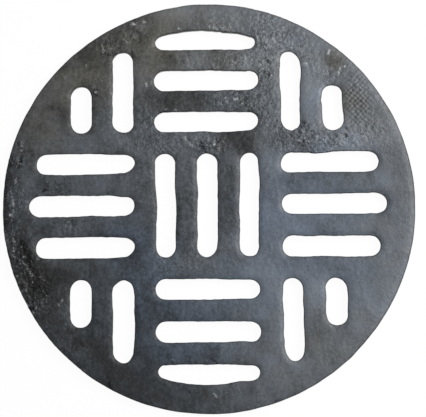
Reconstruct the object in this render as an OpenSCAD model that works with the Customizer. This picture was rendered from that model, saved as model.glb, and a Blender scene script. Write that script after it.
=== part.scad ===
// Round drain grate: one flat iron casting, pierced by a basket weave of slots.
// The origin is the centre of the underside, and +Z points up to the walking face.

/* [Plate] */
// Outside diameter of the grate
rim_d = 248; // [220:1:300]
// Thickness of the casting
plate_t = 6.5; // [5:0.5:14]
// Width of the unbroken band between the slots and the outside edge
rim_band = 16.5; // [12:0.5:22]

/* [Slots] */
// Width of a straight slot at its throat, just under the walking face
slot_w = 12.7; // [9:0.1:15]
// Depth of a crown slot, from its straight side to the top of its arc
crown_depth = 12.25; // [10:0.25:15]
// Radius of the two ends of a crown slot
crown_end_r = 4.4; // [3:0.1:4.8]
// Draft of the slot walls, which open out towards the underside (degrees)
slot_draft = 8; // [2:0.5:10]

/* [Edges] */
// Radius of the edge round each slot on the walking face
slot_top_r = 1.2; // [0.5:0.1:1.8]
// Radius of the edge round each slot on the underside
slot_foot_r = 0.6; // [0.3:0.1:1.2]
// Radius of the outside edge on the walking face
rim_top_r = 1.5; // [0.5:0.1:2]
// Radius of the outside edge on the underside
rim_foot_r = 0.8; // [0.5:0.1:2]

/* [Hidden] */
$fn = 48;
rim_segments = 240;

// Every slot ends inside this circle, where the unbroken band begins.
band_r = rim_d / 2 - rim_band;

// The straight side of a crown slot, as a distance from the grate's centre
crown_floor = band_r - crown_depth;

// The slots lie in rows this far apart, centre to centre. The straight side of a crown slot
// is the near side of the fourth row, so four steps and the crown's depth fill the circle.
pitch = (crown_floor + slot_w / 2) / 4;

end_r = slot_w / 2;
overrun = 1;

// The arc that rounds a slot's edge meets the wall and the flat face at this small angle, so
// that each is bounded by one clean line (degrees).
edge_angle = 6;

// Distance of a slot's far end centre from the middle of the grate, measured along the slot,
// for a slot that lies this far to one side and runs out to the band
function far_end(aside) = sqrt(pow(band_r - end_r, 2) - pow(aside, 2));

// How far inside the wall and the face the centre of an edge arc lies
function inset(r) = r * cos(edge_angle);

// Half of the section that a slot takes out of the plate: X is outward from the centre of the
// slot's end, where the throat is at reach, and Y is up. The wall opens downwards with the
// draft, and both of its edges are rounded. The section runs back past the centre if asked.
module slot_section(reach, back = 0) {
    across = cos(slot_draft);
    rise = sin(slot_draft);
    top_y = plate_t - inset(slot_top_r);
    foot_y = inset(slot_foot_r);
    throat_y = top_y - inset(slot_top_r) * rise;
    top_x = reach + inset(slot_top_r) * across;
    foot_x = reach + (throat_y - foot_y) * tan(slot_draft) + inset(slot_foot_r) / across;
    difference() {
        polygon([
            [-back, -overrun],
            [foot_x, -overrun],
            [foot_x, foot_y],
            [foot_x - inset(slot_foot_r) * across, foot_y - inset(slot_foot_r) * rise],
            [reach, throat_y],
            [top_x, top_y],
            [top_x, plate_t + overrun],
            [-back, plate_t + overrun]
        ]);
        translate([top_x, top_y])
            circle(r = slot_top_r);
        translate([foot_x, foot_y])
            circle(r = slot_foot_r);
    }
}

// A length of slot along +X, as wide as two sections back to back
module slot_run(length, reach) {
    rotate([90, 0, 90])
        linear_extrude(height = length)
            union() {
                slot_section(reach);
                mirror([1, 0])
                    slot_section(reach);
            }
}

// The end of a slot: the section turned round the end's centre from one angle to another
module slot_end(r, from, to) {
    rotate_extrude(angle = to - from, start = from)
        slot_section(r);
}

// A straight slot along X, given by the centres of its two round ends
module slot(near, far) {
    translate([near, 0, 0]) {
        slot_run(far - near, end_r);
        slot_end(end_r, 90, 270);
    }
    translate([far, 0, 0])
        slot_end(end_r, -90, 90);
}

// A crown slot on the +Y side: straight towards the middle, and round along the band. Its two
// ends stand a hair wider than the sides that run into them, so that they cross in a clean line.
module crown_slot() {
    end_y = crown_floor + crown_end_r;
    end_x = sqrt(pow(band_r - crown_end_r, 2) - pow(end_y, 2));
    back = 2 * crown_depth;
    beyond = rim_d / 2;
    hair = 0.02;
    intersection() {
        rotate_extrude()
            translate([band_r - crown_end_r, 0])
                slot_section(crown_end_r, back);
        translate([-beyond, end_y, 0])
            rotate([90, 0, 90])
                linear_extrude(height = 2 * beyond)
                    mirror([1, 0])
                        slot_section(crown_end_r, back);
        translate([0, 0, -2 * overrun])
            linear_extrude(height = plate_t + 4 * overrun)
                polygon([
                    [-end_x, 0],
                    [end_x, 0],
                    [end_x, end_y],
                    [beyond * end_x / end_y, beyond],
                    [-beyond * end_x / end_y, beyond],
                    [-end_x, end_y]
                ]);
    }
    for (side = [-1, 1])
        translate([side * end_x, end_y, 0])
            rotate_extrude()
                slot_section(crown_end_r + hair);
}

// The middle of the weave: three slots along Y
module centre_group() {
    for (row = [-1 : 1])
        rotate([0, 0, 90])
            translate([0, row * pitch, 0])
                slot(-pitch, pitch);
}

// Beside it on +X: three slots along X that run out to the band
module side_group() {
    for (row = [-1 : 1])
        translate([0, row * pitch, 0])
            slot(2 * pitch, far_end(row * pitch));
}

// Beyond it on +Y: two slots along X, and the crown slot where the third would be
module end_group() {
    for (row = [2, 3])
        translate([0, row * pitch, 0])
            slot(-pitch, pitch);
    crown_slot();
}

// In the corner at +X and +Y: two slots along Y that run out to the band
module corner_group() {
    for (row = [2, 3])
        translate([row * pitch, 0, 0])
            rotate([0, 0, 90])
                slot(2 * pitch, far_end(row * pitch));
}

// The round blank, with both of its outside edges rounded and a true cylinder between them
module plate() {
    rotate_extrude($fn = rim_segments)
        difference() {
            square([rim_d / 2, plate_t]);
            translate([rim_d / 2 - rim_top_r, plate_t - rim_top_r])
                rim_corner(rim_top_r);
            translate([rim_d / 2 - rim_foot_r, rim_foot_r])
                mirror([0, 1])
                    rim_corner(rim_foot_r);
        }
}

// What is taken off an outside corner to round it, drawn from the centre of its arc
module rim_corner(r) {
    difference() {
        square(r + overrun);
        circle(r = r);
    }
}

module grate() {
    color([0.30, 0.33, 0.36])
        difference() {
            plate();
            centre_group();
            for (side = [0, 1])
                mirror([side, 0, 0]) {
                    side_group();
                    corner_group();
                    mirror([0, 1, 0])
                        corner_group();
                }
            for (side = [0, 1])
                mirror([0, side, 0])
                    end_group();
        }
}

grate();
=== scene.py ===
import math

import bpy
import numpy as np
from mathutils import Matrix, Vector
from mathutils.geometry import delaunay_2d_cdt


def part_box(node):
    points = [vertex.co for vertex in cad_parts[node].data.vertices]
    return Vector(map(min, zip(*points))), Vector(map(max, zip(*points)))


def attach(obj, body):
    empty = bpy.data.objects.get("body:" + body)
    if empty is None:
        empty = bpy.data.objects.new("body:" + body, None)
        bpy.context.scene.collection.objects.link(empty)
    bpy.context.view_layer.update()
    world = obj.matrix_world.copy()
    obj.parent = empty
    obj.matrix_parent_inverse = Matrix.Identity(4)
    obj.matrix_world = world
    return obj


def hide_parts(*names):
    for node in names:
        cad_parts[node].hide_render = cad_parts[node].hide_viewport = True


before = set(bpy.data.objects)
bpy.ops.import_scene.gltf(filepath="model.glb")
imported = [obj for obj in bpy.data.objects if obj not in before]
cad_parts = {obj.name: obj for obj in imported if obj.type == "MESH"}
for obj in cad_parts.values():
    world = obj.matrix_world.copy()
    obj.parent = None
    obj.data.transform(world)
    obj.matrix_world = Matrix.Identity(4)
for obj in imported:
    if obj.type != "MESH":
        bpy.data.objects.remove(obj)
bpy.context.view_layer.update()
casting_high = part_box("grate")[1]
MM = 0.001

# The photographer stands over the grate, a little towards its lower edge, and shoots it
# through a long lens from arm's length. The grate is a touch left of and above the middle
# of the picture, and is turned a hair anticlockwise in it.
view_from = Vector((0.030, -0.113, 0.993)).normalized()
view_distance = 0.7053
roll = math.radians(0.54)
picture_width = 426
grate_right_of_middle = -5.9
grate_above_middle = 4.1

camera_data = bpy.data.cameras.new("camera")
camera_data.lens = 99.3
camera_data.sensor_width = 36
camera_data.shift_x = -grate_right_of_middle / picture_width
camera_data.shift_y = -grate_above_middle / picture_width
camera_data.clip_start = 0.01
camera = bpy.data.objects.new("camera", camera_data)
bpy.context.scene.collection.objects.link(camera)
rightwards = Vector((math.sin(roll), math.cos(roll), 0)).cross(view_from).normalized()
upwards = view_from.cross(rightwards)
camera.matrix_world = Matrix.LocRotScale(
    Vector((0, 0, casting_high.z)) + view_from * view_distance,
    Matrix((rightwards, upwards, view_from)).transposed(),
    None,
)
bpy.context.scene.camera = camera

# The openings of the mould: a round plate pierced by a basket weave of slots in threes,
# each group a quarter turn from the next. The slots next to the rim run out to one
# circle, and the topmost and bottommost follow it as crowns.
rim_r = casting_high.x
plate_t = casting_high.z
band_r = rim_r - 16.5 * MM
slot_r = 6.35 * MM
crown_depth = 12.25 * MM
crown_end_r = 4.4 * MM
pitch = (band_r - crown_depth + slot_r) / 4
outline_step = 1.1 * MM
fewest_on_an_arc = 5


def outline(arcs):
    """A closed outline that runs anticlockwise round each arc in turn, and straight from
    one arc to the next: centre plus radius times the unit vector at each angle, with
    that unit vector as the outward normal. Where two arcs meet in a point, only one of
    them keeps it. Returns the points and their normals."""
    points, normals = [], []
    for k, (centre, radius, start, end) in enumerate(arcs):
        on_the_arc = max(fewest_on_an_arc, round(radius * abs(end - start) / outline_step))
        turns = np.linspace(start, end, on_the_arc)
        out = np.stack([np.cos(turns), np.sin(turns)], 1)
        points.append(np.array(centre) + radius * out)
        normals.append(out)
        next_centre, next_radius, next_start, _ = arcs[(k + 1) % len(arcs)]
        next_out = np.array([math.cos(next_start), math.sin(next_start)])
        gap = np.array(next_centre) + next_radius * next_out - points[-1][-1]
        distance = float(np.hypot(*gap))
        count = round(distance / outline_step)
        if distance < outline_step / 10:
            points[-1], normals[-1] = points[-1][:-1], normals[-1][:-1]
        if count > 1:
            along = np.linspace(0, 1, count + 1)[1:-1, None]
            points.append(points[-1][-1] + along * gap)
            normals.append(np.repeat(next_out[None], count - 1, 0))
    return np.concatenate(points), np.concatenate(normals)


def straight_slot(near, far, aside, upright):
    """Two half circles, centred at near and at far along the slot, and this far aside."""
    ends = [(aside, far), (aside, near)] if upright else [(far, aside), (near, aside)]
    first = 0 if upright else -math.pi / 2
    return outline([
        (ends[0], slot_r, first, first + math.pi),
        (ends[1], slot_r, first + math.pi, first + 2 * math.pi),
    ])


def far_end(aside):
    """Where a slot's end centre lies so that its end just touches the band circle."""
    return math.sqrt((band_r - slot_r) ** 2 - aside**2)


def crown_slot(side):
    """A straight floor, a stretch of the band circle, and a small arc at each end that
    touches both. The lower crown is the upper one turned half round."""
    end_y = band_r - crown_depth + crown_end_r
    end_x = math.sqrt((band_r - crown_end_r) ** 2 - end_y**2)
    lean = math.atan2(end_x, end_y)
    quarter = math.pi / 2
    points, normals = outline([
        ((end_x, end_y), crown_end_r, -quarter, quarter - lean),
        ((0, 0), band_r, quarter - lean, quarter + lean),
        ((-end_x, end_y), crown_end_r, quarter + lean, 3 * quarter),
    ])
    return side * points, side * normals


slots = {}
for row, side in ((-1, "left"), (0, "middle"), (1, "right")):
    slots["centre " + side] = straight_slot(-pitch, pitch, row * pitch, True)
for row, height in ((-1, "lower"), (0, "middle"), (1, "upper")):
    end = far_end(row * pitch)
    slots["right " + height] = straight_slot(2 * pitch, end, row * pitch, False)
    slots["left " + height] = straight_slot(-end, -2 * pitch, row * pitch, False)
for row, height, place, length in (
    (-3, "bottom", "outer", "short"),
    (-2, "bottom", "inner", "long"),
    (2, "top", "inner", "long"),
    (3, "top", "outer", "short"),
):
    end, step = far_end(row * pitch), math.copysign(1, row)
    near, far = sorted((2 * pitch * step, end * step))
    slots[f"{height} {place}"] = straight_slot(-pitch, pitch, row * pitch, False)
    slots[f"{height} left {length}"] = straight_slot(near, far, -abs(row) * pitch, True)
    slots[f"{height} right {length}"] = straight_slot(near, far, abs(row) * pitch, True)
slots["top crown"] = crown_slot(1)
slots["bottom crown"] = crown_slot(-1)
rim = outline([((0, 0), rim_r, 0, math.pi), ((0, 0), rim_r, math.pi, 2 * math.pi)])

# A sand mould crumbles and shifts as the pattern is drawn from it, so no two slots come out
# alike: some are rapped wider, corners are filled or washed away, and sides lean and swell.
# Each flaw is a place, how far the wall stands back there, and how far that reaches, in mm.
sand = np.random.default_rng(7)

# The first few flaws of each slot were placed one by one. The others, two in three of them all,
# were typed in from a list that a program made of where the slot edges in a render and in the
# photograph differ. The rim's four follow such places too.
FLAWS = {
    "centre left": (
        (-32, 24, -0.3, 5), (-32, 3, -0.8, 8), (-32, -20, -0.5, 8), (-25, 32, -0.4, 4),
        (-19, 0, 0.3, 6), (-28, -31, -0.3, 3), (-32, -4, -1.0, 6), (-32, -19, -0.45, 6),
        (-32, 9, -0.2, 4), (-19, 13, -0.5, 4), (-20, 29, -0.4, 3), (-19, -2, 0.4, 4),
        (-32, -27, -0.3, 3), (-32, 5, -0.25, 4), (-32, 19, -0.25, 4), (-19, -11, 0.25, 3),
        (-32, -8, -0.2, 4),
    ),
    "centre middle": (
        (-6, 27, -0.4, 6), (-6, 9, -0.4, 6), (-6, -12, -0.3, 8), (0, 32, -0.5, 4), (5, -29, -0.6, 3),
        (-6, 3, -0.45, 5), (-6, -19, -0.4, 4), (-6, 11, -0.3, 4), (-6, -5, -0.2, 4), (4, 30, -0.4, 2.5),
        (6, -24, -0.3, 4), (-5, 29, 0.3, 2.5), (-6, 27, -0.3, 3),
    ),
    "centre right": (
        (19, 24, -0.6, 5), (19, 9, -0.5, 8), (19, -10, -0.2, 8), (32, 24, -0.6, 5), (32, 0, -0.5, 8),
        (32, -20, -0.6, 8), (25, 32, -0.4, 4), (25, -32, -0.4, 4), (32, -25, -0.6, 5),
        (32, -13, -0.45, 5), (19, 17, -0.5, 5), (20, 29, -0.45, 4), (31, 28, -0.3, 4),
        (19, -11, -0.25, 4), (28, 31, 0.3, 2.5), (28, -31, 0.3, 2.5), (19, -2, 0.25, 4),
        (19, 10, -0.2, 4), (32, -3, -0.15, 5), (32, 11, 0.2, 3),
    ),
    "left upper": (
        (-104, 25, -0.7, 4), (-45, 26, 0.5, 3), (-52, 19, -0.4, 4), (-56, 32, -0.6, 6),
        (-49, 32, -0.55, 4), (-45, 27, 0.8, 2.5), (-48, 20, -0.5, 4), (-96, 19, -0.45, 6),
        (-82, 19, -0.25, 5), (-65, 19, -0.3, 7), (-103, 21, -0.25, 3), (-88, 19, 0.2, 3),
        (-92, 32, 0.2, 3),
    ),
    "left middle": (
        (-44, 0, 0.4, 3), (-51, 6, -0.6, 4), (-60, -6, -0.3, 7), (-71, -6, -0.45, 5), (-52, 6, -0.5, 5),
        (-68, 6, -0.4, 5), (-51, -6, -0.35, 3), (-45, 3, 0.35, 2.5), (-103, 6, -0.25, 3),
        (-57, -6, 0.3, 4), (-47, -5, 0.25, 3), (-107, 3, 0.25, 3), (-45, 3, 0.2, 3), (-57, 6, 0.2, 4),
    ),
    "left lower": (
        (-104, -25, -0.5, 4), (-52, -31, -0.3, 4), (-44, -24, 0.4, 3), (-75, -32, -0.2, 12),
        (-45, -24, 0.5, 2.5), (-49, -32, -0.45, 5), (-103, -29, -0.4, 4), (-49, -19, -0.4, 4),
        (-67, -19, 0.35, 5), (-93, -32, -0.3, 6), (-76, -19, 0.2, 5), (-45, -24, 0.25, 3),
        (-90, -19, 0.2, 4),
    ),
    "right upper": (
        (50, 32, -0.5, 6), (66, 32, -0.7, 7), (80, 32, -0.2, 7), (104, 27, -0.6, 5), (46, 20, 0.4, 3),
        (45, 29, -0.4, 4), (68, 32, -0.6, 4), (102, 30, -0.6, 5), (60, 32, -0.4, 5), (104, 24, -0.4, 4),
        (92, 32, -0.35, 5), (92, 19, 0.35, 6), (74, 32, -0.2, 4), (46, 21, 0.3, 2.5), (77, 19, 0.25, 4),
        (104, 28, 0.25, 4),
    ),
    "right middle": (
        (50, 6, -0.5, 6), (65, 6, -0.5, 8), (82, 6, -0.5, 8), (97, 6, -0.3, 7), (45, 1, -0.4, 4),
        (104, 6, -0.5, 2.5), (93, -6, 0.4, 6), (107, -3, 0.3, 3), (72, 6, -0.3, 7), (82, -6, 0.2, 5),
        (46, 4, 0.3, 2.5), (49, -6, -0.2, 3), (95, -6, -0.2, 3), (93, 6, -0.2, 3),
    ),
    "right lower": (
        (50, -19, -0.2, 4), (60, -19, -0.6, 5), (73, -19, -0.4, 8), (90, -19, -0.4, 8),
        (105, -24, -0.7, 5), (45, -25, -0.4, 4), (98, -32, 0.55, 5), (84, -32, 0.5, 6),
        (102, -20, -0.5, 4), (79, -19, -0.45, 6), (60, -32, 0.35, 4), (104, -28, -0.3, 4),
        (93, -19, -0.2, 5), (102, -30, -0.4, 3), (65, -32, -0.3, 3), (52, -19, 0.2, 3),
        (47, -30, 0.2, 3), (84, -32, 0.2, 3),
    ),
    "top inner": (
        (12, 57, -0.4, 14), (-28, 56, -0.3, 3), (31, 54, -0.4, 4), (31, 48, -0.3, 4), (10, 44, 0.6, 4),
        (24, 57, -0.5, 4), (16, 57, -0.3, 4), (2, 44, 0.3, 4), (27, 45, -0.35, 4), (-2, 57, -0.25, 5),
        (-22, 57, -0.25, 4), (-31, 54, 0.2, 2.5), (-3, 44, -0.2, 3), (22, 44, 0.2, 3), (32, 51, 0.2, 3),
    ),
    "top outer": (
        (15, 82, -0.3, 8), (28, 81, -0.4, 4), (19, 83, -0.5, 4), (26, 83, -0.3, 4), (12, 83, -0.2, 4),
        (-10, 83, -0.2, 5), (-27, 82, -0.2, 3), (29, 81, 0.3, 3),
    ),
    "top crown": (
        (4, 107, -0.4, 5), (15, 106, -0.6, 7), (27, 103, -0.5, 4), (30, 99, -0.5, 4), (21, 95, 0.5, 4),
        (13, 95, 0.35, 4), (8, 107, -0.3, 5), (-29, 96, -0.25, 3), (-22, 105, 0.25, 4),
        (-2, 95, 0.2, 6), (1, 107, 0.2, 3), (30, 102, -0.2, 3), (23, 105, -0.2, 3),
    ),
    "bottom inner": (
        (-31, -51, -0.5, 4), (-10, -57, -0.3, 12), (25, -57, -0.7, 6), (20, -44, -0.5, 9),
        (31, -48, -0.4, 4), (14, -44, -0.4, 5), (10, -57, -0.4, 4), (27, -45, -0.4, 4),
        (24, -57, 0.3, 3.5), (-24, -57, -0.25, 5), (-30, -55, -0.2, 3),
    ),
    "bottom outer": (
        (-31, -76, -0.5, 4), (-8, -82, -0.4, 12), (20, -82, -0.5, 9), (31, -74, -0.3, 4),
        (-28, -82, -0.5, 3), (27, -70, -0.3, 4), (21, -83, -0.3, 4), (-18, -70, 0.25, 8),
    ),
    "bottom crown": (
        (-30, -101, -0.8, 4), (-18, -106, -0.3, 6), (0, -107, -0.3, 8), (17, -106, -0.5, 6),
        (27, -104, 0.5, 3), (29, -98, -0.5, 4), (-28, -104, -0.4, 4), (28, -96, -0.4, 4),
        (20, -95, -0.35, 4), (-29, -96, -0.4, 3), (19, -106, -0.25, 5), (-12, -95, 0.25, 5),
        (-14, -107, -0.2, 5), (25, -105, 0.4, 3), (-5, -95, -0.2, 4), (-17, -95, -0.2, 4),
    ),
    "top left long": (
        (-54, 91, 0.4, 3), (-57, 78, -0.45, 5), (-46, 47, 0.45, 2.5), (-57, 68, -0.3, 5),
        (-54, 45, -0.35, 3), (-57, 59, -0.3, 5), (-51, 94, 0.3, 2.5), (-57, 86, -0.2, 4),
        (-44, 67, -0.2, 5), (-57, 65, 0.3, 3), (-44, 87, -0.2, 4), (-44, 72, 0.2, 3),
    ),
    "top left short": (
        (-77, 73, 0.4, 3), (-82, 69, 0.45, 3), (-82, 49, -0.35, 3), (-83, 67, -0.35, 2.5),
    ),
    "top right long": (
        (44, 87, -0.6, 5), (44, 66, -0.5, 8), (44, 54, -0.5, 6), (46, 47, -0.4, 3), (54, 90, -0.7, 4),
        (57, 80, 0.5, 4), (57, 66, -0.4, 6), (57, 54, -0.5, 6), (57, 90, -0.6, 2.5),
        (46, 47, -0.35, 2.5), (44, 65, -0.3, 3.5), (57, 86, 0.3, 3),
    ),
    "top right short": (
        (76, 73, -0.8, 4), (71, 70, -0.4, 3), (83, 66, -0.4, 5), (70, 60, -0.2, 6), (70, 48, -0.5, 3),
        (70, 63, 0.5, 2.5), (83, 54, 0.35, 5), (79, 45, 0.25, 4), (72, 71, 0.2, 3), (70, 58, -0.25, 3),
        (83, 60, -0.25, 4),
    ),
    "bottom left short": (
        (-80, -49, -0.4, 3), (-82, -68, -0.3, 3), (-70, -49, -0.2, 4), (-70, -54, 0.3, 3),
        (-71, -47, 0.2, 3),
    ),
    "bottom left long": (
        (-55, -47, -0.9, 3), (-57, -66, -0.3, 8), (-55, -91, -0.7, 3), (-44, -72, 0.4, 9),
        (-46, -90, -0.3, 3), (-57, -84, -0.5, 5), (-44, -73, 0.5, 3.5), (-46, -47, -0.4, 3),
        (-44, -57, 0.4, 3.5), (-57, -74, -0.3, 5), (-57, -51, 0.35, 3), (-45, -90, -0.3, 3),
        (-52, -45, -0.25, 4), (-49, -94, 0.5, 3), (-57, -90, 0.45, 3), (-57, -78, 0.2, 3),
        (-57, -64, -0.2, 4),
    ),
    "bottom right long": (
        (44, -51, -0.3, 4), (44, -78, -0.5, 8), (46, -91, -0.8, 4), (57, -54, -0.5, 6),
        (57, -68, -0.5, 8), (57, -90, -0.5, 3), (56, -47, -0.5, 3), (46, -91, -0.4, 3),
        (46, -47, 0.4, 2.5), (44, -57, 0.35, 3.5), (44, -65, -0.3, 3.5), (57, -70, 0.2, 4),
        (49, -94, 0.35, 2.5), (44, -86, -0.3, 3), (45, -49, -0.2, 3),
    ),
    "bottom right short": (
        (83, -58, 0.4, 6), (71, -69, -0.2, 4), (82, -48, -0.5, 4), (70, -58, -0.4, 5),
        (76, -44, -0.25, 4), (80, -71, 0.25, 3), (83, -53, 0.35, 3), (70, -51, -0.2, 3),
    ),
    "rim": (
        (62, 107, -0.28, 32), (107, -62, -0.26, 32), (-107, 62, 0.4, 38), (-124, 0, 0.12, 25),
    ),
}


def spots(points, places):
    """The sum of soft round spots: each is its height times a Gaussian of the distance."""
    where = np.array([place[:2] for place in places]) * MM
    height = np.array([place[2] for place in places])
    reach = np.array([place[3] for place in places]) * MM
    apart = ((points[:, None, :2] - where) ** 2).sum(2)
    return (height * np.exp(-apart / (2 * reach**2))).sum(1)


def ripple(points, shortest, longest, waves):
    """A smooth random field of about unit height: the sum of plane waves, in millimetres
    of length between shortest and longest, with random directions and phases."""
    lengths = np.exp(sand.uniform(math.log(shortest), math.log(longest), waves)) * MM
    heading = sand.normal(size=(points.shape[1], waves))
    heading *= 2 * math.pi / lengths / np.linalg.norm(heading, axis=0)
    phase = sand.uniform(0, 2 * math.pi, waves)
    return np.cos(points @ heading + phase).sum(1) * math.sqrt(2 / waves)


wall_waver = 0.07
rim_waver = 0.08
cut_slots = []
for name, (points, normals) in slots.items():
    stand_back = spots(points, FLAWS[name]) + wall_waver * ripple(points, 4, 18, 30)
    cut_slots.append((points + normals * stand_back[:, None] * MM, normals))
rim_off_centre = np.array([0.6, -0.4]) * MM
rim_waves = (spots(rim[0], FLAWS["rim"]) + rim_waver * ripple(rim[0], 10, 70, 30)) * MM
rim_points = rim[0] + rim[1] * rim_waves[:, None] + rim_off_centre

# The edges that the casting is shaken out with: rounded on the walking face by the tumbling
# drum, then a wall that opens downwards so that the pattern could be drawn, and a foot that
# is nearly sharp, where the mould's two halves met.
slot_top_r = 1.2 * MM
slot_foot_r = 0.6 * MM
rim_top_r = 1.5 * MM
rim_foot_r = 0.8 * MM
draft_degrees = 8
draft = math.radians(draft_degrees)


def edge_arc(start, end, count, centre, radius):
    """Points round an arc, one row each: distance across, height, and the outward normal."""
    turns = np.radians(np.linspace(start, end, count))
    out = np.stack([np.cos(turns), np.sin(turns)], 1)
    return np.hstack([np.array(centre) + radius * out, out])


def slot_profile():
    """From the walking face to the underside, with distance measured into the metal from
    the slot's narrowest line: a quarter circle turns down into the wall, the wall leans
    back by the draft, and a smaller arc turns under."""
    top_y = plate_t - slot_top_r
    fall = top_y - slot_top_r * math.sin(draft) - slot_foot_r * (1 - math.sin(draft))
    foot_x = fall * math.tan(draft) + slot_foot_r * math.cos(draft)
    top = edge_arc(90, 180 + draft_degrees, 6, (slot_top_r * math.cos(draft), top_y), slot_top_r)
    foot = edge_arc(180 + draft_degrees, 270, 3, (foot_x, slot_foot_r), slot_foot_r)
    return np.concatenate([top, np.linspace(top[-1], foot[0], 4)[1:-1], foot])


def rim_profile():
    """The same for the rim, with distance measured out from its cylinder."""
    top = edge_arc(90, 0, 6, (-rim_top_r, plate_t - rim_top_r), rim_top_r)
    foot = edge_arc(0, -90, 4, (-rim_foot_r, rim_foot_r), rim_foot_r)
    return np.concatenate([top, np.linspace(top[-1], foot[0], 5)[1:-1], foot])


def swept(points, normals, profile):
    """The profile carried along an outline: a grid of places and a grid of outward
    directions, with one row for each point of the profile."""
    grid = (len(profile), len(points), 1)
    flat = points + profile[:, None, 0:1] * normals
    place = np.concatenate([flat, np.broadcast_to(profile[:, None, 1:2], grid)], 2)
    side = profile[:, None, 2:3] * normals
    out = np.concatenate([side, np.broadcast_to(profile[:, None, 3:4], grid)], 2)
    return place, out


strips = [swept(rim_points, rim[1], rim_profile())]
strips += [swept(points, normals, slot_profile()) for points, normals in cut_slots]

# The two flat faces of the plate, between the slots. The walking face has a close net of
# points, because the skin of the sand shows on it, and the underside has a wide one.
top_spacing = 0.79 * MM
foot_spacing = 2.6 * MM


def within(points, loop):
    """True for the points inside a closed loop: a ray towards +X crosses its edges an odd
    number of times."""
    inside = np.zeros(len(points), bool)
    near = np.flatnonzero(((points > loop.min(0)) & (points < loop.max(0))).all(1))
    a, b = loop, np.roll(loop, -1, 0)
    x, y = points[near, 0:1], points[near, 1:2]
    spans = (a[:, 1] > y) != (b[:, 1] > y)
    rise = np.where(b[:, 1] == a[:, 1], 1, b[:, 1] - a[:, 1])
    crossing = a[:, 0] + (y - a[:, 1]) * (b[:, 0] - a[:, 0]) / rise
    inside[near] = (spans & (x < crossing)).sum(1) % 2 == 1
    return inside


def gap_to(points, loops, reach):
    """The distance from each point to the nearest point of the loops, or the reach where
    none of them is as near as that."""
    gap = np.full(len(points), reach)
    for loop in loops:
        near = np.flatnonzero(((points > loop.min(0) - reach) & (points < loop.max(0) + reach)).all(1))
        apart = np.hypot(*(points[near][:, None] - loop).transpose(2, 0, 1)).min(1)
        gap[near] = np.minimum(gap[near], apart)
    return gap


def filled(loops, spacing):
    """Triangles over the flat metal between the rim's loop, which comes first, and the
    slots' loops: a triangular net of points, kept clear of the loops, is joined to them by
    Delaunay's rule. Returns the net's points, and the triangles with loop points first."""
    reach = np.abs(loops[0]).max()
    rows = np.arange(-reach, reach, spacing * math.sqrt(0.75))
    net = np.stack(np.meshgrid(np.arange(-reach, reach, spacing), rows), 2)
    net[::2, :, 0] += spacing / 2
    net = net.reshape(-1, 2)
    jitter = 0.1
    net = net + sand.uniform(-jitter, jitter, net.shape) * spacing
    clear = 0.62 * spacing
    middle = loops[0].mean(0)
    rim_reach = np.hypot(*(loops[0] - middle).T).min() - clear
    net = net[np.hypot(*(net - middle).T) < rim_reach]
    net = net[gap_to(net, loops[1:], spacing) > clear]
    for loop in loops[1:]:
        net = net[~within(net, loop)]
    counts = np.array([len(loop) for loop in loops])
    starts = np.repeat(np.cumsum(counts) - counts, counts)
    here = np.arange(counts.sum())
    after = starts + (here - starts + 1) % np.repeat(counts, counts)
    every = np.concatenate(list(loops) + [net])
    joined = np.stack([here, after], 1)
    inside_only = 1
    same_point = 1e-9
    made = delaunay_2d_cdt(every.tolist(), joined.tolist(), [], inside_only, same_point)
    source = np.array([same[0] for same in made[3]])
    triangles = source[np.array(made[2])]
    for loop in loops[1:]:
        triangles = triangles[~within(every[triangles].mean(1), loop)]
    return net, triangles


top_net, top_triangles = filled([place[0, :, :2] for place, _ in strips], top_spacing)
foot_net, foot_triangles = filled([place[-1, :, :2] for place, _ in strips], foot_spacing)

strip_starts = np.cumsum([0] + [place[..., 0].size for place, _ in strips])
net_starts = strip_starts[-1] + np.array([0, len(top_net)])
points = np.concatenate(
    [place.reshape(-1, 3) for place, _ in strips]
    + [np.column_stack([top_net, np.full(len(top_net), plate_t)])]
    + [np.column_stack([foot_net, np.zeros(len(foot_net))])]
)
outwards = np.concatenate(
    [out.reshape(-1, 3) for _, out in strips]
    + [np.tile([0, 0, 1], (len(top_net), 1)), np.tile([0, 0, -1], (len(foot_net), 1))]
)
grids = [
    first + np.arange(place[..., 0].size).reshape(place.shape[:2])
    for first, (place, _) in zip(strip_starts, strips)
]


def quads(grid):
    """Quads between neighbouring rows and columns, closed round the outline."""
    after = np.roll(grid, -1, 1)
    return np.stack([grid[:-1], grid[1:], after[1:], after[:-1]], 2).reshape(-1, 4)


top_numbers = np.concatenate([grid[0] for grid in grids] + [net_starts[0] + np.arange(len(top_net))])
foot_numbers = np.concatenate([grid[-1] for grid in grids] + [net_starts[1] + np.arange(len(foot_net))])
edge_faces = [quads(grids[0])] + [quads(grid)[:, ::-1] for grid in grids[1:]]
faces = (
    np.concatenate(edge_faces).tolist()
    + top_numbers[top_triangles].tolist()
    + foot_numbers[foot_triangles][:, ::-1].tolist()
)
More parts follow.
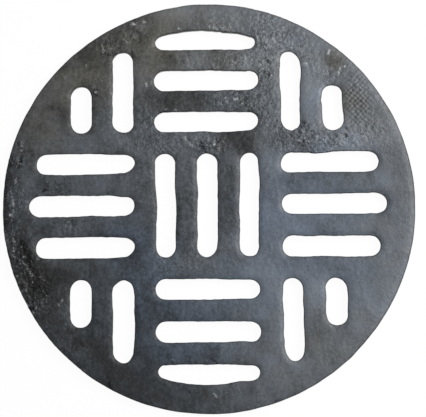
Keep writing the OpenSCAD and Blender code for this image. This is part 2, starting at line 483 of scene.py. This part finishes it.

# The skin that the sand and the paint left. The sand was damp in places and left grit and
# lumps there. Two coats of black paint have greyed, more so towards the right, where part of the
# grey is painted light from that side, and have stayed olive at the upper left. Every place and
# size is in millimetres.
GRITTY = (
    (0, 0, 0.12, 40), (0, 95, 0.14, 35), (88, 0, -0.08, 25), (38, 98, 0.9, 7), (37, 84, 1.0, 6),
    (40, 109, 0.6, 7), (34, 69, 0.5, 8), (37, 55, 0.4, 8), (49, 103, 0.5, 6), (61, 87, 0.7, 4),
    (73, 78, 0.8, 4), (60, 98, 0.3, 6), (46, 41, 0.8, 5), (54, 40, 1.0, 6), (62, 40, 0.9, 5),
    (69, 36, 0.9, 5), (78, 37, 0.6, 6), (88, 40, 0.5, 6), (100, 42, 0.4, 8), (8, 108, 0.6, 6),
    (30, 115, 0.4, 7), (-10, 87, 0.5, 4), (6, 88, 0.4, 5), (21, 88, 0.5, 6), (14, 63, 0.5, 8),
    (25, 61, 0.3, 8), (4, 36, 1.0, 4), (-5, 36, 0.5, 4), (-25, 38, 0.4, 8), (-119, 27, 0.7, 6),
    (-119, 5, 0.6, 8), (-118, -15, 0.6, 8), (-113, -34, 0.8, 8), (-107, -52, 0.8, 8),
    (-98, -58, 0.4, 8), (-93, 10, 0.5, 6), (-85, -11, 0.5, 6), (-60, 97, 0.5, 5), (-51, 101, 0.4, 5),
    (-67, 73, 0.4, 4), (-43, 108, 0.5, 4), (-20, -36, 0.3, 8), (-45, 42, 0.2, 12), (-36, 53, 0.3, 8),
    (92, 62, 0.2, 10), (98, 84, 0.2, 12), (-83, -86, 0.3, 10),
)

# Nearly all of the greyed spots were read off grids, 10 mm apart, that a program printed of how
# much lighter or darker the photograph is than a render. The olive spots sum up a like grid of
# the photograph's tints.
GREYED = (
    (-18, 120, 0.4, 7), (0, 120, 0.2, 6), (14, 120, 0.25, 9), (-40, 110, -0.12, 7), (-10, 110, -0.1, 7),
    (20, 110, -0.1, 14), (38, 106, 0.25, 14), (-68, 100, -0.12, 7), (-48, 100, -0.1, 6),
    (45, 100, -0.12, 7), (70, 98, 0.12, 5), (-70, 94, -0.18, 10), (-18, 92, -0.15, 8),
    (-58, 90, -0.1, 6), (-30, 90, -0.1, 6), (0, 90, -0.12, 6), (15, 90, -0.12, 8), (22, 90, 0.12, 14),
    (50, 90, 0.27, 6), (72, 90, -0.1, 5), (78, 90, -0.14, 4), (8, 89, -0.22, 7), (-10, 88, 0.15, 4),
    (79, 86, -0.22, 4), (4, 85, 0.22, 10), (60, 81, 0.08, 5), (-10, 80, 0.15, 5), (-6, 80, 0.15, 5),
    (40, 80, -0.12, 6), (42, 80, 0.2, 9), (-28, 79, 0.1, 5), (-10, 79, 0.1, 5), (20, 79, 0.27, 5),
    (40, 78, -0.1, 6), (66, 78, 0.22, 6), (70, 72, 0.1, 5), (-70, 70, -0.1, 6), (70, 68, 0.15, 4),
    (22, 66, -0.1, 7), (86, 66, -0.1, 8), (-18, 65, -0.25, 9), (-12, 65, -0.1, 10), (-2, 65, -0.15, 6),
    (24, 63, -0.15, 9), (66, 63, 0.4, 6), (-80, 60, -0.1, 6), (70, 60, -0.3, 5), (84, 60, -0.15, 6),
    (108, 60, -0.2, 9), (-78, 56, -0.15, 10), (70, 56, -0.12, 6), (82, 51, 0.15, 5),
    (-70, 50, -0.12, 6), (60, 50, 0.12, 5), (70, 50, 0.3, 6), (80, 50, 0.25, 5), (90, 50, -0.14, 5),
    (-92, 46, 0.08, 6), (70, 44, -0.15, 5), (11, 42, -0.15, 4), (90, 42, 0.12, 5), (-60, 40, 0.12, 12),
    (-30, 40, -0.1, 5), (0, 40, 0.12, 5), (10, 40, -0.1, 5), (16, 40, -0.15, 9), (76, 40, -0.14, 7),
    (110, 40, 0.1, 6), (54, 38, -0.12, 10), (-84, 36, 0.1, 8), (86, 36, 0.25, 9), (88, 35, 0.15, 6),
    (70, 34, 0.15, 5), (50, 33, 0.1, 4), (70, 33, 0.2, 4.5), (92, 33, 0.08, 6), (50, 32, 0.12, 4),
    (-52, 31, -0.2, 5), (-50, 30, -0.12, 5), (-2, 30, -0.12, 6), (30, 30, -0.1, 5), (62, 30, -0.12, 6),
    (120, 30, -0.28, 8.5), (-118, 28, -0.15, 7), (44, 24, 0.15, 7), (-90, 20, -0.12, 6),
    (-50, 20, 0.1, 5), (30, 20, 0.12, 5), (-118, 18, 0.1, 7), (50, 18, -0.08, 5), (92, 18, -0.2, 14),
    (110, 18, 0.2, 7), (55, 17, -0.12, 6), (78, 17, -0.15, 12), (12, 16, -0.22, 8), (68, 16, -0.1, 6),
    (88, 15, -0.1, 6), (-70, 12, 0.12, 8), (120, 12, -0.2, 12), (70, 11, 0.12, 9), (-34, 10, -0.08, 6),
    (-20, 10, 0.15, 5), (76, 9, 0.1, 5), (90, 9, 0.2, 7), (-22, 4, -0.12, 8), (-14, 0, -0.15, 12),
    (40, 0, -0.15, 6), (-32, -4, -0.15, 8), (38, -4, 0.22, 9), (12, -6, -0.3, 9), (54, -9, -0.15, 6),
    (-80, -10, -0.1, 7), (76, -11, -0.12, 9), (96, -12, -0.12, 10), (118, -12, -0.08, 10),
    (52, -14, 0.2, 9), (84, -17, 0.26, 8.5), (54, -18, 0.1, 6), (-118, -20, -0.12, 7),
    (-100, -20, 0.13, 6), (-92, -20, -0.1, 6), (-112, -22, -0.15, 10), (-10, -22, -0.12, 6),
    (-55, -24, -0.15, 12), (21, -24, 0.2, 6), (-100, -28, 0.12, 6), (18, -28, -0.08, 6),
    (-40, -30, -0.05, 8), (20, -30, -0.12, 5), (55, -30, -0.1, 6), (110, -30, 0.14, 6),
    (-92, -32, 0.12, 7), (18, -32, -0.14, 5), (52, -32, -0.1, 5), (66, -32, -0.2, 12),
    (82, -32, -0.1, 6), (98, -32, -0.2, 10), (30, -33, -0.05, 8), (53, -33, -0.12, 6),
    (110, -34, 0.1, 12), (-104, -36, -0.12, 10), (-110, -40, -0.12, 8), (64, -40, 0.1, 6),
    (118, -40, -0.06, 8), (121, -40, -0.18, 9), (28, -42, 0.3, 12), (56, -42, 0.2, 14),
    (-98, -46, -0.22, 12), (-70, -52, -0.14, 8), (-32, -52, -0.1, 6), (66, -54, 0.25, 8),
    (98, -58, 0.25, 14), (20, -62, -0.12, 5), (40, -62, -0.14, 7), (70, -62, -0.12, 6),
    (-40, -64, -0.1, 10), (40, -66, 0.25, 10), (98, -68, -0.13, 16), (70, -70, -0.12, 6),
    (32, -72, -0.12, 5), (70, -72, -0.1, 6), (90, -76, 0.15, 12), (92, -80, -0.1, 12),
    (-50, -84, -0.15, 26), (48, -92, 0.18, 14), (45, -101, -0.08, 7), (-48, -104, -0.08, 12),
    (30, -110, 0.1, 7), (-10, -114, -0.2, 18), (22, -120, -0.08, 7),
)
BLACKENED = (
    (-112, -24, 1.0, 5), (-107, -38, 1.0, 6), (-99, -48, 1.0, 6), (-88, -42, 0.5, 6),
    (-80, -78, 0.4, 16), (-60, -92, 0.4, 16), (-103, -62, 0.5, 8), (-121, 18, 0.8, 7),
    (-121, -8, 0.8, 7), (17, 41, 0.9, 5), (25, 39, 0.8, 4), (23, 34, 0.7, 4), (12, 28, 0.4, 5),
    (-34, 60, 0.3, 10), (-24, 65, 0.4, 6), (-8, 65, 0.5, 7), (-40, -112, 0.4, 14), (53, 40, 0.3, 5),
)
OLIVE = (
    (-62, 92, 0.75, 22), (-88, 72, 0.6, 18), (-104, 48, 0.5, 12), (-30, 108, 0.6, 14),
    (0, 110, 0.35, 16), (-26, 88, 0.5, 12), (-14, 64, 0.4, 8), (10, 88, 0.4, 7), (34, 90, 0.25, 20),
    (79, 87, 0.9, 5), (85, 62, 0.6, 6), (97, 52, 0.25, 12), (20, 39, 0.4, 7), (-100, 28, 0.2, 10),
    (-104, -44, 0.6, 12), (30, -5, -0.55, 14), (60, 10, -0.4, 18), (92, 4, -0.3, 18),
    (-54, -20, -0.7, 10), (-32, -24, -0.5, 12), (-44, -44, -0.5, 14), (-36, -70, -0.65, 16),
    (-10, -64, -0.5, 14), (20, -52, -0.4, 16), (60, -28, -0.45, 18), (86, -44, -0.3, 14),
    (-22, -90, -0.6, 12), (2, -84, -0.4, 12), (65, -80, 0.3, 8), (92, -90, 0.2, 10),
    (64, -108, 0.2, 16), (68, 62, -0.35, 6),
)
WOVEN_PRINT = ((89, 66, 0.9, 5), (93, 60, 1.0, 4), (93, 52, 0.9, 5), (92, 73, 0.7, 4))

# What use has left: bright nicks and rubbed streaks of bare iron, which are painted glints and
# painted sheen too, and dark pits and scores. A nick or a pit is a place, its strength and its
# reach, and a streak or a score runs from one place to another, with its strength and its reach.
NICKS_AND_GLINTS = (
    (23.5, 118, 0.4, 0.55), (-37.5, 113, 1.2, 0.55), (3.2, 113, 0.7, 0.55), (-44, 111.8, 0.9, 0.55),
    (2.5, 109.5, 0.8, 0.5), (15, 109, 0.9, 0.5), (-16.5, 108.5, 1.1, 0.5), (-53.5, 101.3, 0.5, 0.55),
    (-53, 98, 0.3, 0.5), (40, 95, 0.5, 0.5), (-73, 86.3, 0.7, 0.5), (61, 85.5, 0.7, 0.75),
    (32.5, 85, 1, 0.5), (84.2, 83.2, 1.1, 0.5), (34.8, 83, 0.5, 0.5), (88, 83, 0.4, 0.75),
    (27, 82.5, 0.5, 0.5), (-86, 78.6, 0.7, 0.5), (80, 77.5, 0.6, 0.5), (-67, 69.7, 1.1, 0.5),
    (12, 65, 0.6, 0.7), (43, 47.5, 0.4, 0.6), (56, 41.5, 0.4, 0.5), (83, 39, 0.5, 0.55),
    (71, 37, 0.4, 0.7), (4.8, 36.5, 1.2, 0.5), (7.5, 33.5, 0.7, 0.5), (-119, -5, 0.9, 0.55),
    (-84, -10, 0.5, 0.5), (-116, -30.5, 0.5, 0.5), (-110.5, -30.5, 0.7, 0.5), (-114.5, -42, 0.8, 0.55),
    (-113, -45.5, 0.7, 0.5), (-109, -49.5, 0.35, 0.5), (-113.5, -50, 0.6, 0.5), (-112, -52, 1, 0.6),
    (-92.5, -56.5, 0.35, 0.55), (-87, -57, 0.7, 0.55), (-89, -59, 0.6, 0.55), (-108, -59.3, 1.5, 0.6),
    (-104.5, -63.5, 0.9, 0.55), (-87, -80.5, 0.3, 0.5), (-78, -86, 0.3, 0.5), (-21, -92.5, 0.25, 0.75),
    (-74, -98, 0.4, 0.5), (-8, -109.7, 0.4, 0.5), (26, -122, 0.8, 0.5),
)
RUBBED_AND_SHEEN_STREAKS = (
    (-45, 112, -40, 110, 0.32, 1.1), (5, 109, 7, 107.5, 0.8, 0.5), (9, 109, 12, 107.3, 0.65, 0.5),
    (-43.5, 103, -44, 106, 0.37, 0.5), (-50, 102.5, -48, 100, 0.53, 0.5),
    (36, 102.5, 37.5, 99, 0.53, 0.6), (32, 101.2, 31, 103, 0.7, 0.5), (41, 101, 42.5, 98.5, 0.6, 0.55),
    (-63.5, 99, -62.5, 94.5, 0.54, 0.55), (-58, 98, -57, 95.5, 0.35, 0.5),
    (33, 95, 33.5, 92, 0.36, 0.55), (75, 93.5, 74.5, 91, 1.1, 0.5), (24, 91, 24, 86, 0.55, 0.5),
    (16, 88, 18, 86, 0.5, 0.55), (81.5, 82.5, 80.5, 79, 0.66, 0.5), (-68.5, 75, -67, 73, 0.35, 0.5),
    (-36.8, 75, -36, 73, 0.85, 0.5), (91, 74, 94, 70, 0.42, 0.5), (-58.2, 71, -57.8, 68, 0.36, 0.5),
    (17, 64, 19, 64.5, 0.6, 0.6), (8, 62, 9, 61, 0.45, 0.7), (-25, 58.5, -24, 58.3, 0.55, 0.5),
    (-20, 58.5, -18, 57.5, 0.55, 0.5), (-16, 43, -9, 36, 0.3, 0.8), (-13, 41, -9, 36, 0.32, 0.55),
    (67, 41, 66, 37, 0.53, 0.5), (-112, 39.5, -112.5, 37, 0.6, 0.55), (10, 38, 12, 35, 0.37, 0.55),
    (60, 38, 62, 37.3, 0.5, 0.5), (-113.5, 35, -112, 34, 0.5, 0.5), (-117, 30, -117.5, 27, 0.4, 0.5),
    (-114, 28, -113, 26, 0.45, 0.55), (-115.5, 18, -115.5, 14, 0.4, 0.5),
    (-116, 13, -116, 8, 0.26, 0.5), (-118.5, 10, -117, 2, 0.48, 0.5), (-117, 2, -117, -6, 0.42, 0.5),
    (-118, -4, -118, -8, 0.37, 0.5), (-117, -12, -117.5, -20, 0.32, 0.5),
    (-122, -15, -121.5, -19, 0.32, 0.5), (-116, -20, -116.5, -30, 0.42, 0.55),
    (-110, -34, -104, -44, 0.24, 0.5), (-112, -35, -108, -44, 0.2, 0.5),
    (-108, -37, -103, -43, 0.22, 0.5), (-101, -42, -98, -44, 0.28, 0.6),
    (-103, -59.5, -103, -61.5, 0.4, 0.5), (7, -90, 9, -86, 0.21, 0.7), (3, -112, 4.5, -114.5, 0.5, 0.5),
)
PITS = (
    (31, 96.5, 0.6, 0.8), (42, 86, 0.4, 0.65), (-69.5, 76.5, 0.5, 0.65), (8, 64, 0.4, 0.7),
    (14.5, 64, 0.4, 0.65), (57.5, 46.5, 0.4, 0.95), (61, 46, 0.4, 0.8), (84, 45, 0.9, 0.7),
    (69, 43.5, 0.5, 0.7), (60, 42, 0.4, 0.65), (-110.5, 34, 0.5, 0.8), (-102, 32, 0.6, 0.8),
    (-106, 31, 0.5, 1.2), (-93, 9, 0.4, 0.55), (54.8, -8.5, 0.4, 0.95), (-92, -10, 0.4, 0.55),
)
SCORES = (
    (35, 97, 33, 98.5, 0.6, 0.7), (-45, 94, -44.5, 91, 0.7, 0.65), (38, 94, 40, 91, 0.6, 0.7),
    (-61, 93.5, -57, 92, 0.6, 0.95), (36, 89, 39, 86, 0.6, 0.65), (35.5, 80.5, 38, 78.5, 0.6, 0.8),
    (75, 79, 75, 77, 0.4, 0.65), (71, 78, 72, 75, 0.4, 0.65), (-68, 71.5, -66, 71, 0.35, 0.65),
    (-69, 69, -66, 67.5, 0.45, 0.7), (58, 50, 59, 48.5, 0.75, 0.7), (52, 42.5, 55, 42, 0.45, 0.7),
    (48, 42, 53, 40.5, 0.3, 0.7), (83.5, 41.5, 84.3, 39.8, 0.9, 0.7), (-114, 39, -114, 36, 0.6, 0.8),
    (-3, 39, -2, 37, 0.5, 0.95), (8, 39, 9, 35, 0.5, 0.7), (-5, 36, -2, 34, 0.6, 1.3),
    (-122, 34, -122.5, 4, 0.35, 0.9), (-68, 32, -62, 32, 0.4, 0.6), (-112, 31, -114, 24, 0.85, 0.8),
    (-118, 30, -119, 24, 0.7, 0.8), (-119, 18, -119.5, 8, 0.4, 0.8), (-97, 13, -96, 10, 0.4, 0.8),
    (-89, 13, -87, 14, 0.4, 0.8), (-122, 12, -121.5, -10, 0.35, 0.95), (-91, 10, -88, 8, 0.3, 1),
    (-99, 9, -98, 10, 0.8, 0.7), (-17.5, 6, -17, -1, 0.35, 0.9), (-82, -9.5, -80, -9.5, 0.4, 0.55),
    (-86, -10, -85, -9, 0.4, 0.55), (-112, -22, -110, -28, 0.9, 1.45), (-7, -24, -7, -30, 0.4, 0.7),
    (-109, -28, -106, -33, 0.8, 1.2), (-108, -33, -105, -40, 0.6, 1.1),
    (-104, -40, -102, -48, 0.8, 1.1), (-116, -45, -113, -54, 0.7, 0.8),
    (-106, -46, -104, -50, 0.5, 0.95), (-112, -47, -111, -49, 0.7, 0.65), (-100, -50, -98, -52, 0.5, 2),
    (-109, -55, -106, -62, 0.6, 0.8), (-105, -61, -103, -62, 0.9, 0.7), (27, -64, 28, -65.5, 0.4, 0.65),
    (2, -92, 5, -94.5, 0.6, 0.65), (-60.5, -101, -59, -105, 0.4, 0.65),
    (-59, -106, -58.5, -109, 0.7, 0.7), (-12, -111, -10.5, -113.5, 0.5, 0.65),
    (39, -117, 43, -116, 0.4, 0.65),
)


def strokes(points, marks):
    """The sum of soft strokes: each is its strength times a Gaussian of the distance from
    the line that joins its two ends."""
    marks = np.array(marks)
    start, along = marks[:, 0:2] * MM, (marks[:, 2:4] - marks[:, 0:2]) * MM
    reach = marks[:, 5] * MM
    away = points[:, None, :2] - start
    passed = (away * along).sum(2) / (along**2).sum(1)
    away = away - np.clip(passed, 0, 1)[..., None] * along
    return (marks[:, 4] * np.exp(-(away**2).sum(2) / (2 * reach**2))).sum(1)


up = outwards[:, 2]
walking = np.clip(up, 0, 1) * (points[:, 2] > plate_t / 2)
seen_from_above = np.flatnonzero(walking > 0)
skin = points[seen_from_above]
bright_and_glints, dark = np.zeros((2, len(points)))
bright_and_glints[seen_from_above] = spots(skin, NICKS_AND_GLINTS) + strokes(skin, RUBBED_AND_SHEEN_STREAKS)
dark[seen_from_above] = spots(skin, PITS) + strokes(skin, SCORES)
plain_roughness = 0.12
plain_film = 0.33
plain_warmth = 0.30
greyer_and_lit_towards = np.array([0.93, 0.36])
wall_painted_shade = 0.8
foot_film = 0.6
rough = np.clip(plain_roughness + spots(points, GRITTY), 0, 1.2)
# Darker paint at the BLACKENED spots, and painted shade on the walls of the slots and of the rim.
black_and_wall_shade = np.clip(spots(points, BLACKENED) + wall_painted_shade * (1 - np.abs(up)), 0, 1)
# The film rises towards the right and upper right, the soft box's side: partly grey film, partly
# painted light from that side.
across_to_lit_side = points[:, :2] @ greyer_and_lit_towards / rim_r
film_and_sheen = plain_film + 0.15 * across_to_lit_side + spots(points, GREYED)
film_and_sheen = film_and_sheen + 0.05 * ripple(points[:, :2], 12, 45, 24)
# The film thins as the surface turns from up and is gone on the walls, which adds to their painted
# shade.
film_and_sheen = np.clip(film_and_sheen, 0.02, 1) * np.where(up < 0, foot_film, up)
warm = plain_warmth + spots(points, OLIVE) + 0.06 * ripple(points[:, :2], 10, 40, 24)
warm = np.clip(warm, -0.5, 1.5)
woven = np.clip(spots(points, WOVEN_PRINT), 0, 1)

# Feet and the tumbling drum have worn the walking face down towards every edge. The skin
# between is uneven as cast, and only ever lies below the plane of the pattern's face.
edge_reach = 5 * MM
wear_depth = 0.4
wear_width = 1.0 * MM
nick_height = 0.08
score_depth = 0.22
grit_depth = 0.09
skin_depth = 0.12
wall_relief = 0.6
loops = [place[0, :, :2] for place, _ in strips]
gap = np.zeros(len(points))
net = slice(net_starts[0], net_starts[1])
to_rim = rim_r - rim_top_r - np.hypot(*(points[net, :2] - rim_off_centre).T)
gap[net] = np.minimum(gap_to(points[net, :2], loops[1:], edge_reach), to_rim)
worn_down = wear_depth * walking * np.exp(-gap / wear_width)
swell = 0.05 * ripple(points, 25, 90, 24) + 0.016 * ripple(points, 5, 12, 40)
lumps = (0.010 + 0.10 * rough) * ripple(points, 2.2, 4.5, 60)
marks = nick_height * np.minimum(bright_and_glints, 1) - score_depth * np.minimum(dark, 1)
relief = swell + lumps + marks
flat_relief = np.minimum(relief - grit_depth * rough - skin_depth, 0)
relief = np.abs(up) * flat_relief + (1 - np.abs(up)) * wall_relief * relief
points = points + outwards * relief[:, None] * MM
points[:, 2] = np.clip(points[:, 2] - worn_down * MM, 0, plate_t)

casting_mesh = bpy.data.meshes.new("casting")
casting_mesh.from_pydata(points, [], faces)
casting_mesh.polygons.foreach_set("use_smooth", np.ones(len(faces), bool))
fields = {
    "rough": rough,
    "black_and_wall_shade": black_and_wall_shade,
    "film_and_sheen": film_and_sheen,
    "warm": warm,
    "woven": woven,
    "bright_and_glints": bright_and_glints,
    "dark": dark,
}
for name, values in fields.items():
    layer = casting_mesh.attributes.new(name, "FLOAT", "POINT")
    layer.data.foreach_set("value", values.astype(np.float32))
casting_mesh.update()
casting = bpy.data.objects.new("casting", casting_mesh)
bpy.context.scene.collection.objects.link(casting)

# The paint and the iron under it. The black paint is thin and half glossy, a grey film lies
# on it in clouds, and the iron shows where grit has chipped it or a nick has gone through. The
# film's rise towards the right is partly painted light, and the bare iron is partly painted glints.
iron = bpy.data.materials.new("painted cast iron")
iron.use_nodes = True
tree = iron.node_tree
shader = tree.nodes["Principled BSDF"]


def add(kind, **settings):
    """A new node in the material that is being made, with its own settings."""
    made = tree.nodes.new("ShaderNode" + kind)
    for name, value in settings.items():
        setattr(made, name, value)
    return made


def plug(socket, value):
    """Joins an output to an input, or sets the input to a number or a colour."""
    if isinstance(value, bpy.types.NodeSocket):
        tree.links.new(value, socket)
    else:
        socket.default_value = value


def sum_of(operation, first, second, third=None):
    """One step of arithmetic on values that vary over the surface."""
    made = add("Math", operation=operation)
    plug(made.inputs[0], first)
    plug(made.inputs[1], second)
    if third is not None:
        plug(made.inputs[2], third)
    return made.outputs[0]


def ramp(value, low, high, to_low=0.0, to_high=1.0):
    """Maps the range from low to high on to the range from to_low to to_high, and clips."""
    made = add("MapRange", clamp=True)
    for socket, given in zip(made.inputs, (value, low, high, to_low, to_high)):
        plug(socket, given)
    return made.outputs[0]


def blend(amount, first, second, how="MIX"):
    """Two colours mixed by an amount."""
    made = add("Mix", data_type="RGBA", blend_type=how, clamp_factor=True)
    plug(made.inputs[0], amount)
    plug(made.inputs[6], first)
    plug(made.inputs[7], second)
    return made.outputs[2]


where = add("TexCoord").outputs["Object"]


def noise(size, detail=4.0, roughness=0.5, along=(1, 1, 1)):
    """Fractal noise with patches about this many millimetres wide."""
    turn = add("Mapping")
    plug(turn.inputs["Vector"], where)
    turn.inputs["Scale"].default_value = along
    made = add("TexNoise")
    plug(made.inputs["Vector"], turn.outputs[0])
    plug(made.inputs["Scale"], 1 / (size * MM))
    plug(made.inputs["Detail"], detail)
    plug(made.inputs["Roughness"], roughness)
    return made.outputs[0]


def cells(size, seed):
    """Distance from scattered points that lie about this many millimetres apart."""
    turn = add("Mapping")
    plug(turn.inputs["Vector"], where)
    turn.inputs["Location"].default_value = (seed, seed / 3, 0)
    made = add("TexVoronoi")
    plug(made.inputs["Vector"], turn.outputs[0])
    plug(made.inputs["Scale"], 1 / (size * MM))
    return made.outputs["Distance"]


def field(name):
    """One of the fields that are stored on the casting's points."""
    return add("Attribute", attribute_name=name).outputs["Fac"]


black_paint = (0.0275, 0.032, 0.0365, 1)
grey_film_and_sheen = (0.142, 0.166, 0.202, 1)
bare_iron_and_glint = (0.34, 0.35, 0.36, 1)
cool = (0.94, 1.0, 1.10, 1)
olive = (1.22, 1.0, 0.70, 1)

cloud = noise(9, 6, 0.55)
mottle = noise(2.6, 5, 0.6)
blotches = noise(1.7, 2, 0.5)
grain = noise(0.7, 3, 0.6)
streaks = noise(1.6, 3, 0.5, (1, 0.14, 1))
patchy = ramp(noise(5, 3, 0.5), 0.38, 0.62, 0.55, 1.25)
rough_here = sum_of("MULTIPLY", field("rough"), patchy)
unevenness = sum_of("MULTIPLY_ADD", rough_here, 0.7, 0.7)
unevenness = sum_of("MULTIPLY", ramp(field("film_and_sheen"), 0.15, 0.6, 0.95, 0.2), unevenness)
film_and_sheen_here = sum_of("MULTIPLY_ADD", ramp(cloud, 0.3, 0.7, -0.15, 0.15), unevenness, field("film_and_sheen"))
film_and_sheen_here = sum_of("MULTIPLY_ADD", ramp(mottle, 0.3, 0.7, -0.13, 0.13), unevenness, film_and_sheen_here)
film_and_sheen_here = sum_of("ADD", film_and_sheen_here, ramp(streaks, 0.35, 0.65, -0.04, 0.04))
# Where the film rises towards the right, its grey is partly painted light.
colour = blend(film_and_sheen_here, black_paint, grey_film_and_sheen)
tint = blend(ramp(field("warm"), -0.5, 1.5), cool, olive)
colour = blend(1.0, colour, tint, "MULTIPLY")

# The darker paint and the walls' painted shade take the tone down to blackest.
blackest = 0.3
tone = ramp(field("black_and_wall_shade"), 0, 1, 1, blackest)
# In gritty places the tone follows the bump's own noises, lighter on its crowns and darker in its
# hollows: partly random mottle, partly painted shade on the grit's relief.
contrast = sum_of("MULTIPLY_ADD", rough_here, 1.45, unevenness)
blotch_and_relief_shade = sum_of("MULTIPLY_ADD", sum_of("SUBTRACT", blotches, 0.5), contrast, 1.0)
darkest_blotch_and_shade = 0.35
tone = sum_of("MULTIPLY", tone, sum_of("MAXIMUM", blotch_and_relief_shade, darkest_blotch_and_shade))
speckle_and_relief_shade = sum_of("MULTIPLY", sum_of("SUBTRACT", grain, 0.5), sum_of("MULTIPLY", unevenness, 1.2))
speckle_and_relief_shade = sum_of("ADD", speckle_and_relief_shade, 1.0)
tone = sum_of("MULTIPLY", tone, speckle_and_relief_shade)
# The bump's pits are darkened too: painted shade in them.
pit_shade_tone = 0.6
pits = ramp(cells(1.9, 0.31), 0.12, 0.42, 1, 0)
pit_here = sum_of("MULTIPLY", pits, ramp(rough_here, 0.2, 0.9))
tone = sum_of("MULTIPLY", tone, ramp(pit_here, 0, 1, 1, pit_shade_tone))
flecking = 0.5
score_tone = 0.12
flecks = ramp(noise(1.0, 2, 0.5), 0.35, 0.65, -0.5, 0.5)
scored = sum_of("MULTIPLY_ADD", flecks, flecking, field("dark"))
tone = sum_of("MULTIPLY", tone, ramp(scored, 0.15, 0.75, 1, score_tone))

# A coarse sacking was pressed into the wet paint at the upper right, and left its weave.
weave_pitch = 2.3 * MM
weave_contrast = 0.22
weave_height = 0.05
slack = 0.6 * MM
axes = add("SeparateXYZ")
plug(axes.inputs[0], where)
wobble = ramp(noise(6, 2, 0.5), 0.3, 0.7, -slack, slack)
warp = sum_of("ADD", sum_of("ADD", axes.outputs[0], axes.outputs[1]), wobble)
weft = sum_of("ADD", sum_of("SUBTRACT", axes.outputs[0], axes.outputs[1]), wobble)
turn_rate = 2 * math.pi / (weave_pitch * math.sqrt(2))
threads = [sum_of("COSINE", sum_of("MULTIPLY", thread, turn_rate), 0.0) for thread in (warp, weft)]
weave = sum_of("MULTIPLY", sum_of("ADD", *threads), field("woven"))
tone = sum_of("MULTIPLY", tone, sum_of("MULTIPLY_ADD", weave, weave_contrast, 1.0))

brightest_nick_and_glint = 0.95
brightest_chip_and_glint = 0.7
colour = blend(1.0, colour, tone, "MULTIPLY")
# The nicks and streaks show bare iron and are painted glints too.
nicked_and_glinting = sum_of("MULTIPLY_ADD", flecks, -flecking, field("bright_and_glints"))
nicked_and_glinting = ramp(nicked_and_glinting, 0.22, 1.0, 0, brightest_nick_and_glint)
# Chips of bare iron on the grit's high spots, which are painted glints too.
chips_and_glints = ramp(cells(2.9, 0.77), 0.12, 0.24, 1, 0)
chips_and_glints_here = sum_of("MULTIPLY", chips_and_glints, ramp(rough_here, 0.35, 1.1, 0, brightest_chip_and_glint))
chips_and_glints_here = sum_of("MULTIPLY", chips_and_glints_here, ramp(mottle, 0.42, 0.6))
colour = blend(sum_of("MAXIMUM", nicked_and_glinting, chips_and_glints_here), colour, bare_iron_and_glint)
glossiest = 0.36
dullest = 0.56
paint_shine = 0.3
plug(shader.inputs["Base Color"], colour)
plug(shader.inputs["Roughness"], ramp(mottle, 0.3, 0.7, glossiest, dullest))
plug(shader.inputs["Specular IOR Level"], paint_shine)

bump_height = sum_of("MULTIPLY", grain, ramp(rough_here, 0, 1, 0.03, 0.15))
bump_height = sum_of("MULTIPLY_ADD", blotches, ramp(rough_here, 0, 1, 0.04, 0.62), bump_height)
bump_height = sum_of("MULTIPLY_ADD", mottle, ramp(rough_here, 0, 1, 0.12, 0.60), bump_height)
pit_depth = 0.16
bump_height = sum_of("MULTIPLY_ADD", pit_here, -pit_depth, bump_height)
bump_height = sum_of("MULTIPLY_ADD", weave, weave_height, bump_height)
bump = add("Bump")
plug(bump.inputs["Strength"], 1.0)
plug(bump.inputs["Distance"], MM)
plug(bump.inputs["Height"], bump_height)
plug(shader.inputs["Normal"], bump.outputs[0])
casting_mesh.materials.append(iron)

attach(casting, "root")
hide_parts("grate")

# The sheet of white paper that the grate lies on. The photograph is cut out on pure white,
# so the sheet looks white to the camera and in reflections, and keeps a faint shadow.
paper_z = -0.02 * MM
paper_reach = 6
paper_corners = [
    (-paper_reach, -paper_reach, paper_z),
    (paper_reach, -paper_reach, paper_z),
    (paper_reach, paper_reach, paper_z),
    (-paper_reach, paper_reach, paper_z),
]
paper_mesh = bpy.data.meshes.new("paper")
paper_mesh.from_pydata(paper_corners, [], [(0, 1, 2, 3)])
paper = bpy.data.objects.new("paper", paper_mesh)
bpy.context.scene.collection.objects.link(paper)
sheet = bpy.data.materials.new("white paper")
sheet.use_nodes = True
tree = sheet.node_tree
matt = tree.nodes["Principled BSDF"]
matt.inputs["Base Color"].default_value = (0.86, 0.86, 0.86, 1)
matt.inputs["Roughness"].default_value = 0.9
glow = add("Emission")
glow.inputs["Strength"].default_value = 1.0
ray = add("LightPath")
seen = sum_of("ADD", ray.outputs["Is Camera Ray"], ray.outputs["Is Glossy Ray"])
seen = sum_of("ADD", seen, ray.outputs["Is Transmission Ray"])
glow_share = 0.96
both = add("MixShader")
plug(both.inputs[0], sum_of("MULTIPLY", sum_of("MINIMUM", seen, 1.0), glow_share))
plug(both.inputs[1], matt.outputs[0])
plug(both.inputs[2], glow.outputs[0])
plug(tree.nodes["Material Output"].inputs["Surface"], both.outputs[0])
paper_mesh.materials.append(sheet)

# The light: a pale room, and one large soft box near the grate's right and upper side, so
# that the right side is lighter and every slot's left edge catches it.
room = bpy.data.worlds.new("room")
room.use_nodes = True
walls = room.node_tree.nodes["Background"]
walls.inputs["Color"].default_value = (0.93, 0.96, 1.0, 1)
walls.inputs["Strength"].default_value = 0.30
bpy.context.scene.world = room

soft_box_data = bpy.data.lights.new("soft box", "AREA")
soft_box_data.size = 0.5
soft_box_data.energy = 9.45
soft_box = bpy.data.objects.new("soft box", soft_box_data)
bpy.context.scene.collection.objects.link(soft_box)
soft_box_place = Vector((0.53, 0.19, 0.60))
soft_box_turn = soft_box_place.to_track_quat("Z", "Y")
soft_box.matrix_world = Matrix.LocRotScale(soft_box_place, soft_box_turn, None)
bpy.context.scene.view_settings.view_transform = "Standard"
